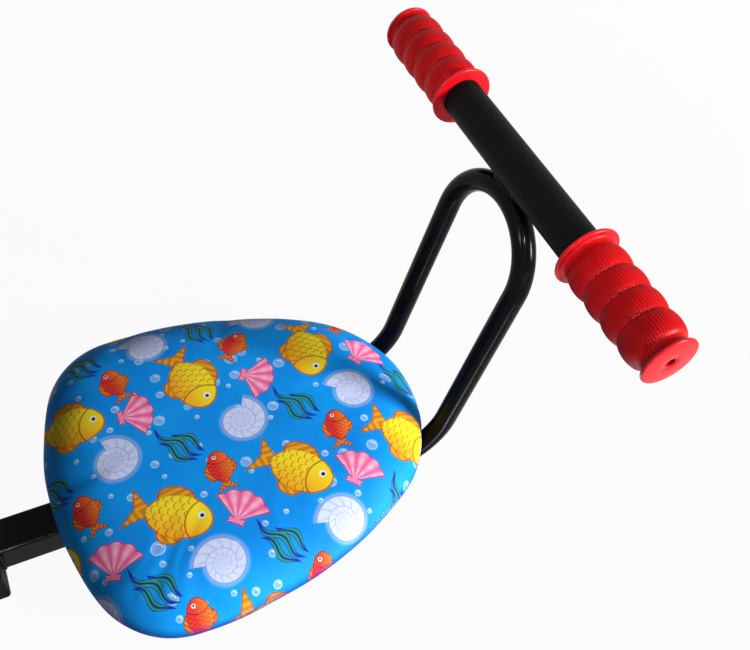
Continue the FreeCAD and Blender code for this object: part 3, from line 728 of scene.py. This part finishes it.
# The seat's outline as its support distance for each direction, so that an inset is a plain subtraction
def seatOutline(setup):
    points = np.array([vertex.co[:2] for vertex in nodes["seat_cover"].data.vertices])
    low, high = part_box("seat_cover")
    centre = np.array([(low.x + high.x) / 2, (low.y + high.y) / 2])
    fine = setup["outlineSamples"]
    angles = np.arange(fine) * 2 * math.pi / fine
    normals = np.stack([np.cos(angles), np.sin(angles)], 1)
    support = ((points - centre) @ normals.T).max(0)
    waves = np.fft.rfft(support)
    waves[setup["outlineWaves"]:] = 0
    smooth = np.fft.irfft(waves, fine)
    slope = np.fft.irfft(waves * 1j * np.arange(len(waves)), fine)
    tangents = np.stack([-normals[:, 1], normals[:, 0]], 1)
    outline = centre + normals * smooth[:, None] + tangents * slope[:, None]
    steps = np.linalg.norm(np.roll(outline, -1, 0) - outline, axis=1)
    travel = np.concatenate([[0], np.cumsum(steps)])
    wanted = np.arange(setup["ringPoints"]) * travel[-1] / setup["ringPoints"]
    closedAngles = np.append(angles, 2 * math.pi)
    turn = np.interp(wanted, travel, closedAngles)
    even = np.stack([np.interp(turn, closedAngles, np.append(line, line[0])) for line in outline.T], 1)
    return even, np.stack([np.cos(turn), np.sin(turn)], 1)


# Section of the cushion as (inset, height), from the hem's inner edge to the edge of the flat top
def cushionSection(setup, top):
    low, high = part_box("seat_cover")
    bend = setup["bottomRound"]
    rim = low.z + bend
    section = []
    for step in range(setup["hemRings"]):
        share = step / setup["hemRings"]
        section.append((setup["hemWidth"] + (bend - setup["hemWidth"]) * share, low.z))
    for step in range(setup["bottomRings"]):
        angle = math.pi / 2 * (1 - step / setup["bottomRings"])
        section.append((bend * (1 - math.cos(angle)), rim - bend * math.sin(angle)))
    for step in range(setup["crownRings"] + 1):
        angle = math.pi / 2 * step / setup["crownRings"]
        section.append((setup["crownWidth"] * (1 - math.cos(angle)), rim + (top - rim) * math.sin(angle)))
    return section


# A grid inside the top ring: spread between the four sides, then evened out
def topGrid(ring, sweeps=400):
    side = len(ring) // 4
    share = np.linspace(0, 1, side + 1)[:, None]
    rows = share[:, None]
    near = ring[:side + 1]
    right = ring[side:2 * side + 1]
    far = ring[2 * side:3 * side + 1][::-1]
    left = np.vstack([ring[3 * side:], ring[:1]])[::-1]
    across = left[:, None] * (1 - share) + right[:, None] * share
    along = near * (1 - rows) + far * rows
    corners = along[:, :1] * (1 - share) + along[:, -1:] * share
    grid = across + along - corners
    for sweep in range(sweeps):
        grid[1:-1, 1:-1] = (grid[:-2, 1:-1] + grid[2:, 1:-1] + grid[1:-1, :-2] + grid[1:-1, 2:]) / 4
    return grid


def cushionFaces(setup, rings):
    count = setup["ringPoints"]
    return ringFaces(rings, count) + gridFaces(count // 4, (rings - 1) * count, rings * count)


# Points of the cushion and their places on the flat printed cloth
def cushionPoints(setup, top):
    outline, normals = seatOutline(setup)
    start = int(np.argmin(normals @ np.array([1, 1]) / math.sqrt(2)))
    outline = np.roll(outline, -start, 0)
    normals = np.roll(normals, -start, 0)
    section = cushionSection(setup, top)
    rings = [np.column_stack([outline - normals * inset, np.full(len(outline), height)])
             for inset, height in section]
    grid = topGrid(rings[-1])
    points = np.vstack(rings + [grid[1:-1, 1:-1].reshape(-1, 3)])
    flatRings = [outline - normals * section[-1][0]]
    for (inset, height), (lastInset, lastHeight) in zip(section[-2::-1], section[:0:-1]):
        flatRings.append(flatRings[-1] + normals * math.hypot(inset - lastInset, height - lastHeight))
    flat = np.vstack(flatRings[::-1] + [grid[1:-1, 1:-1, :2].reshape(-1, 2)])
    return points, flat, section


# Blows the cushion up as cloth under pressure, with the points of its hem held
def swell(piece, setup, held):
    group = piece.vertex_groups.new(name="held")
    group.add([int(i) for i in held], 1.0, "REPLACE")
    cloth = piece.modifiers.new("swell", "CLOTH")
    for name, value in cushionCloth.items():
        setattr(cloth.settings, name, value)
    cloth.settings.vertex_group_mass = "held"
    cloth.settings.effector_weights.gravity = 0
    cloth.collision_settings.use_collision = False
    cloth.point_cache.frame_end = setup["frames"]
    for step in range(1, setup["frames"] + 1):
        scene.frame_set(step)
    graph = bpy.context.evaluated_depsgraph_get()
    moved = np.array([vertex.co for vertex in piece.evaluated_get(graph).data.vertices])
    piece.modifiers.remove(cloth)
    piece.vertex_groups.remove(group)
    scene.frame_set(1)
    return moved


# Pleats where the leather is drawn over the board's edge, and the slight waver of a rim pulled by hand
def drawIn(points, setup, section):
    count = setup["ringPoints"]
    rings = points[:len(section) * count].reshape(len(section), count, 3)
    rim = setup["hemRings"] + setup["bottomRings"]
    around = np.arange(count) / count

    def waves(terms):
        return [share * np.sin(2 * math.pi * (turns * around + phase)) for share, turns, phase in terms]

    length = np.linalg.norm(np.roll(rings[rim], -1, 0) - rings[rim], axis=1).sum()
    pleats = round(length / setup["pleatPitch"])
    drift = sum(waves(setup["pleatDrift"]))
    pleat = np.maximum(0, np.sin(2 * math.pi * (pleats * around + drift))) ** 2
    strong = setup["pleatMean"] + math.prod(waves(setup["pleatBeats"]))
    wave = sum(waves(setup["waverWaves"]))
    out = rings[rim][:, :2] - rings[rim].mean(0)[:2]
    out /= np.linalg.norm(out, axis=1, keepdims=True)
    for level in range(rim):
        rings[level][:, 2] -= setup["pleatDepth"] * (1 - level / rim) * pleat * strong
    for level in range(setup["hemRings"], len(section)):
        near = max(0.0, 1 - abs(level - rim) / setup["waverRings"])
        rings[level][:, :2] += out * (setup["waver"] * near * wave)[:, None]
    return points


# Moves points out of the room that the two legs take up
def clearOfLegs(points, setup):
    placeY, placeZ = setup["bendPlace"]
    aside = np.abs(points[:, 0]) - setup["aside"]
    ahead = points[:, 1] - placeY
    above = points[:, 2] - placeZ
    out = np.maximum(np.hypot(ahead, above), tiny)
    past = out - setup["bendRadius"]
    away = np.maximum(np.hypot(aside, past), tiny)
    push = np.maximum(0, setup["tube"] + setup["room"] - away) * ((ahead > 0) & (above < 0) & (past < 0))
    points[:, 1] += push * past / away * ahead / out
    points[:, 2] += push * past / away * above / out
    return points


def makeCushion(setup):
    low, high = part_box("seat_cover")
    start, flat, section = cushionPoints(setup, high.z - setup["sink"])
    ringsHeld = setup["hemRings"] + setup["bottomRings"] // 2
    faces = cushionFaces(setup, len(section))
    cover = newPiece("seatCover", start, faces, "printed_leatherette", "seat_cover")
    shape = cushionPoints(setup, high.z)[0]
    travel = swell(cover, setup, range(ringsHeld * setup["ringPoints"])) - start
    far = np.linalg.norm(travel, axis=1, keepdims=True)
    swelled = start + travel * np.minimum(1, setup["mostSwell"] / np.maximum(far, tiny))
    shape += (swelled - shape) * setup["slack"]
    print("cushion swelled by", round(float(far.max()) / mm, 1), "mm")
    shape = clearOfLegs(drawIn(shape, setup, section), legs)
    cover.data.vertices.foreach_set("co", shape.astype(np.float32).ravel())
    place = cover.data.attributes.new("printPlace", "FLOAT_VECTOR", "POINT")
    place.data.foreach_set("vector", np.column_stack([flat, np.zeros(len(flat))]).astype(np.float32).ravel())
    cover.data.update()
    thick = cover.modifiers.new("leather", "SOLIDIFY")
    thick.thickness = setup["leather"]
    thick.offset = -1
    smooth = cover.modifiers.new("smooth", "SUBSURF")
    smooth.levels = smooth.render_levels = 1
    return cover, section


# Padding under the leather: the cover's form above the board, set in by its thickness and closed on the board
foam = {"gap": 0.25 * mm, "fill": 1.0}


def makeFoam(setup, coverSetup, cover, section):
    count = coverSetup["ringPoints"]
    first = coverSetup["hemRings"] + coverSetup["bottomRings"]
    spots = np.array([vertex.co for vertex in cover.data.vertices])
    normals = np.array([vertex.normal for vertex in cover.data.vertices])
    points = (spots - normals * (coverSetup["leather"] + setup["gap"]))[first * count:]
    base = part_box("seat_board")[1].z
    points[:count, 2] = base
    points[:, 2] = np.maximum(points[:, 2], base)
    under = topGrid(points[:count])[1:-1, 1:-1].reshape(-1, 3)
    faces = cushionFaces(coverSetup, len(section) - first)
    faces += gridFaces(count // 4, 0, len(points), flipped=True)
    piece = newPiece("seatFoam", np.vstack([points, under]), faces, "seat_foam", "seat_foam")
    piece.data.set_sharp_from_angle(angle=sharpAngle)


seatCover, coverSection = makeCushion(cushion)
makeFoam(foam, cushion, seatCover, coverSection)
print("cushion and padding made")


# Rubber grips: a half section turned round the handlebar, with fine ribs along the lobes.
# Fillets are steps along and out, rib share and share of polish and painted sheen.
grip = {
    "ribs": 60, "ribSamples": 4, "ribDepth": 0.4 * mm, "bore": 13.02 * mm, "flangeThickness": 2.6 * mm,
    "flangeRadius": 20.4 * mm, "flangeRound": 1.2 * mm, "collarLength": 4.5 * mm,
    "collarFillet": ((0, 0.9 * mm, 0, 1), (0.5 * mm, 0.3 * mm, 0, 0.2), (1.2 * mm, 0, 0.6, 0)), "lobes": 4,
    "lobePitch": 16.0 * mm, "lobeSteps": 12, "lobeHeight": 1.9 * mm, "lobeFullness": 0.8, "valleyRadius": 16.0 * mm,
    "neckLength": 5.8 * mm, "neckRadius": 14.6 * mm, "neckStart": ((0.5 * mm, 0.5 * mm, 0, 0), (1.3 * mm, 0, 0, 0)),
    "neckStop": ((-0.8 * mm, 0, 0, 0), (0, 0.5 * mm, 0, 0.6)), "endThickness": 2.8 * mm, "endRadius": 17.0 * mm,
    "endRound": 0.9 * mm, "endDome": 0.6 * mm, "domeSteps": (0.75, 0.5, 0.3), "vent": 3.0 * mm,
    "ventFillet": ((-0.1 * mm, 0.5 * mm, 0, 1), (-0.5 * mm, 0, 0, 1)), "barGap": 0.02 * mm,
}


def fillet(along, radius, steps):
    return [(along + x, radius + r, ribbed, polishAndSheen) for x, r, ribbed, polishAndSheen in steps]


# Rim of a flange between two places along the grip, polished and given the painted sheen, with both edges rounded
def flangeRim(start, stop, radius, edge, steps=5):
    rim = []
    for x, fromAngle in ((start + edge, 180), (stop - edge, 90)):
        for angle in np.radians(np.linspace(fromAngle, fromAngle - 90, steps)):
            rim.append((x + edge * math.cos(angle), radius - edge + edge * math.sin(angle), 0, 1))
    return rim


# Half section as (along, radius, rib share, share of polish and painted sheen)
def gripSection(setup):
    valley = setup["valleyRadius"]
    neck = setup["neckRadius"]
    vent = setup["vent"]
    dome = setup["endDome"]
    flangeEnd = setup["flangeThickness"]
    lobesStart = flangeEnd + setup["collarLength"]
    lobesEnd = lobesStart + setup["lobes"] * setup["lobePitch"]
    neckEnd = lobesEnd + setup["neckLength"]
    tip = neckEnd + setup["endThickness"]
    section = [(0.0, setup["bore"], 0, 1)]
    section += flangeRim(0.0, flangeEnd, setup["flangeRadius"], setup["flangeRound"])
    section += fillet(flangeEnd, valley, setup["collarFillet"])
    steps = setup["lobes"] * setup["lobeSteps"]
    for step in range(steps + 1):
        along = step / setup["lobeSteps"] % 1
        bulge = setup["lobeHeight"] * (4 * along * (1 - along)) ** setup["lobeFullness"]
        ribbed = 0 if step == steps else 1
        section.append((lobesStart + setup["lobePitch"] * step / setup["lobeSteps"], valley + bulge, ribbed, 0))
    section += fillet(lobesEnd, neck, setup["neckStart"]) + fillet(neckEnd, neck, setup["neckStop"])
    section += flangeRim(neckEnd, tip - dome, setup["endRadius"], setup["endRound"])
    for share in setup["domeSteps"]:
        rise = dome * (1 - share ** 2)
        section.append((tip - dome + rise, vent + (setup["endRadius"] - vent) * share, 0, 1))
    section += fillet(tip, vent, setup["ventFillet"])
    barEnd = neckEnd + setup["barGap"]
    return section + [(barEnd, vent, 0, 0.3), (barEnd, setup["bore"], 0, 0)]


# The handlebar's axis as y and z, and its radius
def handlebar():
    low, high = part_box("handlebar_tube")
    return (low.y + high.y) / 2, (low.z + high.z) / 2, (high.z - low.z) / 2


def makeGrip(setup, name, replaced, direction):
    low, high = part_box(replaced)
    axisY, axisZ, barRadius = handlebar()
    inner = low.x if direction > 0 else high.x
    section = gripSection(setup)
    around = setup["ribs"] * setup["ribSamples"]
    angles = 2 * math.pi * np.arange(around) / around
    groove = setup["ribDepth"] * (0.5 - 0.5 * np.cos(setup["ribs"] * angles))
    points, shine = [], []
    for along, radius, ribbed, polishAndSheen in section:
        r = radius - groove * ribbed
        x = np.full(around, inner + direction * along)
        points += zip(x, axisY + r * np.cos(angles), axisZ + r * np.sin(angles))
        shine += [polishAndSheen] * around
    faces = ringFaces(len(section), around, closed=True, flipped=direction < 0)
    piece = newPiece(name, points, faces, "red_rubber", replaced)
    piece.data.attributes.new("polishAndSheen", "FLOAT", "POINT").data.foreach_set("value", shine)
    piece.data.set_sharp_from_angle(angle=sharpAngle)


makeGrip(grip, "gripRight", "grip_right", 1)
makeGrip(grip, "gripLeft", "grip_left", -1)
print("grips made")


# Weld beads, laid as small overlapping drops along the joints of the frame. Swings are share, length and phase.
welds = {
    "ripplePitch": 1.9 * mm, "ripple": 0.16, "swings": ((0.07, 3.3 * mm, 0.0), (0.05, 1.3 * mm, 1.0)),
    "step": 0.4 * mm, "leastSteps": 8, "leastEnd": 0.02, "sides": 12, "handleBead": 2.2 * mm,
    "handleReach": 17.5 * mm, "handleSteps": 60, "handleLean": math.radians(13.5), "handleSink": 0.5 * mm,
    "handleStandOff": 0.45, "plateBead": 1.7 * mm, "plateReach": 10.5 * mm, "plateGap": 0.5 * mm,
    "legBead": 1.6 * mm, "legOffset": 4.4 * mm, "legInset": 2 * mm, "clampBead": 1.4 * mm, "clampStart": -11 * mm,
    "clampCorner": 2.6 * mm, "clampGap": (0.3 * mm, 0.4 * mm, 0.1 * mm),
}


# One bead along a path, with closed rounded ends
def beadMesh(setup, path, radius, points, faces):
    path = np.array(path)
    travel = np.concatenate([[0], np.cumsum(np.linalg.norm(np.diff(path, axis=0), axis=1))])
    length = travel[-1]
    stations = np.linspace(0, length, max(setup["leastSteps"], int(length / setup["step"])))
    line = np.stack([np.interp(stations, travel, path[:, i]) for i in range(3)], 1)
    heading = np.gradient(line, axis=0)
    heading /= np.linalg.norm(heading, axis=1, keepdims=True)
    start = len(points)
    sides = setup["sides"]
    angles = 2 * math.pi * np.arange(sides)[:, None] / sides
    for station, spot, ahead in zip(stations, line, heading):
        drop = station / setup["ripplePitch"] % 1
        swing = sum(share * math.sin(station / span + phase) for share, span, phase in setup["swings"])
        ends = min(1.0, station / radius, (length - station) / radius)
        taper = math.sqrt(max(setup["leastEnd"], 1 - (1 - ends) ** 2))
        size = radius * (1 - setup["ripple"] * drop + swing) * taper
        across = np.cross(ahead, (0.31, 0.17, 0.93) if abs(ahead[2]) < 0.8 else (1, 0, 0))  # any line not along it
        across /= np.linalg.norm(across)
        other = np.cross(ahead, across)
        points += list(spot + size * (across * np.cos(angles) + other * np.sin(angles)))
    faces += ringFaces(len(stations), sides, start)
    faces += [tuple(range(start, start + sides))[::-1], tuple(range(len(points) - sides, len(points)))]


# Both grooves between the handlebar and the crown of the loop below it
def handlePaths(setup):
    axisY, axisZ, barRadius = handlebar()
    lean = setup["handleLean"]
    down = np.array([0, -math.sin(lean), -math.cos(lean)])
    ahead = np.array([0, math.cos(lean), -math.sin(lean)])
    standOff = setup["handleBead"] * setup["handleStandOff"]
    fromBar = barRadius + standOff
    fromLoop = legs["tube"] + standOff
    x = np.linspace(-setup["handleReach"], setup["handleReach"], setup["handleSteps"])
    sag = legs["aside"] - np.sqrt(legs["aside"] ** 2 - x * x)
    apart = barRadius + legs["tube"] - setup["handleSink"] + sag
    low = (fromBar ** 2 - fromLoop ** 2 + apart ** 2) / (2 * apart)
    wide = np.sqrt(np.maximum(0.0, fromBar ** 2 - low ** 2))
    middle = np.array([0, axisY, axisZ]) + np.outer(x, (1, 0, 0)) + np.outer(low, down)
    return [middle + np.outer(side * wide, ahead) for side in (1, -1)]


# Beads of the crossplates across the beam and along the loop's legs
def platePaths(setup):
    plates, sides = [], []
    gap = setup["plateGap"]
    wide = setup["plateReach"]
    for name in ("rear_crossplate", "front_crossplate"):
        low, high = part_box(name)
        for y in (low.y - gap, high.y + gap):
            plates.append([(-wide, y, low.z + gap), (wide, y, low.z + gap)])
        for side in (-legs["aside"], legs["aside"]):
            for x in (side - setup["legOffset"], side + setup["legOffset"]):
                sides.append([(x, y, low.z - gap) for y in (low.y + setup["legInset"], high.y - setup["legInset"])])
    return plates, sides


# Up one side of the beam's end, over its top and down the other
def clampPath(setup):
    low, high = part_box("main_beam")
    gapX, gapY, gapZ = setup["clampGap"]
    corner = setup["clampCorner"]
    y = low.y + gapY
    heights = (setup["clampStart"], high.z - corner)
    path = [(high.x + gapX, y, z) for z in heights]
    path += [(x, y, high.z + gapZ) for x in (high.x - corner, low.x + corner)]
    return path + [(low.x - gapX, y, z) for z in reversed(heights)]


def makeWelds(setup):
    plates, sides = platePaths(setup)
    joints = {
        "handleWelds": (handlePaths(setup), setup["handleBead"]),
        "plateWelds": (plates, setup["plateBead"]),
        "legWelds": (sides, setup["legBead"]),
        "clampWeld": ([clampPath(setup)], setup["clampBead"]),
    }
    for name, (paths, radius) in joints.items():
        points, faces = [], []
        for path in paths:
            beadMesh(setup, path, radius, points, faces)
        newPiece(name, points, faces, "black_paint")


makeWelds(welds)
print("welds laid")


# Floor, lights and world
stageSetup = {
    "floorDrop": 0.5 * mm, "floorSize": 40.0, "paleShare": 0.95, "shadowReach": (0.5, 1.4),
    "floorSockets": {"Base Color": rgb(150, 150, 150), "Roughness": 0.9, "Specular IOR Level": 0.1},
    "worldSockets": {"Color": rgb(246, 248, 250), "Strength": 0.08}, "seenSockets": {"Color": (1, 1, 1, 1)},
}


def cameraShare(tree, amount):  # how much of the plain white a camera, mirror or glass ray sees
    rays = tree.nodes.new("ShaderNodeLightPath").outputs
    seen = Signal(rays["Is Camera Ray"]).most(rays["Is Glossy Ray"]).most(rays["Is Transmission Ray"])
    return seen * amount


# The floor turns plain white away from the part, and can be looked through from below
def addFloor(setup):
    low, high = cadBox
    half = setup["floorSize"] / 2
    height = low.z - setup["floorDrop"]
    mesh = bpy.data.meshes.new("floor")
    corners = [(x * half, y * half, height) for x, y in ((-1, -1), (1, -1), (1, 1), (-1, 1))]
    mesh.from_pydata(corners, [], [(0, 1, 2, 3)])
    material, tree, shader = newMaterial("floorPaint")
    setSockets(shader, setup["floorSockets"])
    glow = tree.nodes.new("ShaderNodeEmission").outputs[0]
    x, y, z = parts(tree.nodes.new("ShaderNodeTexCoord").outputs["Object"])
    near, far = setup["shadowReach"]
    fade = reach(x, y).rising(near, 1 / (far - near))
    share = cameraShare(tree, fade * (1 - setup["paleShare"]) + setup["paleShare"])
    pale = newNode("MixShader", share, shader.outputs[0], glow)
    below = tree.nodes.new("ShaderNodeNewGeometry").outputs["Backfacing"]
    clear = tree.nodes.new("ShaderNodeBsdfTransparent").outputs[0]
    sides = newNode("MixShader", below, pale.outputs[0], clear)
    feed(sides.outputs[0], tree.nodes["Material Output"].inputs["Surface"])
    mesh.materials.append(material)
    floor = bpy.data.objects.new("floor", mesh)
    scene.collection.objects.link(floor)


def setWorld(setup):
    world = scene.world = bpy.data.worlds.new("studio")
    world.use_nodes = True
    tree = world.node_tree
    lit = tree.nodes["Background"]
    setSockets(lit, setup["worldSockets"])
    seen = tree.nodes.new("ShaderNodeBackground")
    setSockets(seen, setup["seenSockets"])
    mix = newNode("MixShader", cameraShare(tree, 1.0), lit.outputs[0], seen.outputs[0])
    feed(mix.outputs[0], tree.nodes["World Output"].inputs["Surface"])


# Softboxes as place, aim, width and height, watts and spread of the beam in degrees
lamps = {
    "keyBox": ((1.68, 1.88, 1.06), (0.0, 0.2, 0.05), (0.6, 0.6), 118.0, 180),
    "handleFill": ((0.25, -0.55, 0.86), (-0.1, 0.38, 0.23), (0.2, 0.2), 0.14, 24),
    "sparkBox": ((0.717, 0.126, 1.126), (0.03, 0.37, 0.2), (0.08, 0.06), 0.065, 14),
    "rightStrip": ((1.25, 0.25, 0.2), (0.0, 0.2, 0.03), (0.9, 0.06), 1.0, 180),
    "floorStrip": ((0.19, 0.3, -0.0125), (0.19, 0.3, 0.2), (0.2, 0.02), 0.2, 180),
}


def addLamps(setups):
    for name, (place, aim, size, watts, spread) in setups.items():
        lamp = bpy.data.lights.new(name, "AREA")
        lamp.shape = "RECTANGLE"
        lamp.size, lamp.size_y = size
        lamp.energy = watts
        lamp.spread = math.radians(spread)
        holder = bpy.data.objects.new(name, lamp)
        holder.location = place
        holder.rotation_euler = (Vector(aim) - Vector(place)).to_track_quat("-Z", "Y").to_euler()
        holder.visible_camera = False
        scene.collection.objects.link(holder)


addFloor(stageSetup)
setWorld(stageSetup)
addLamps(lamps)
print("stage set")
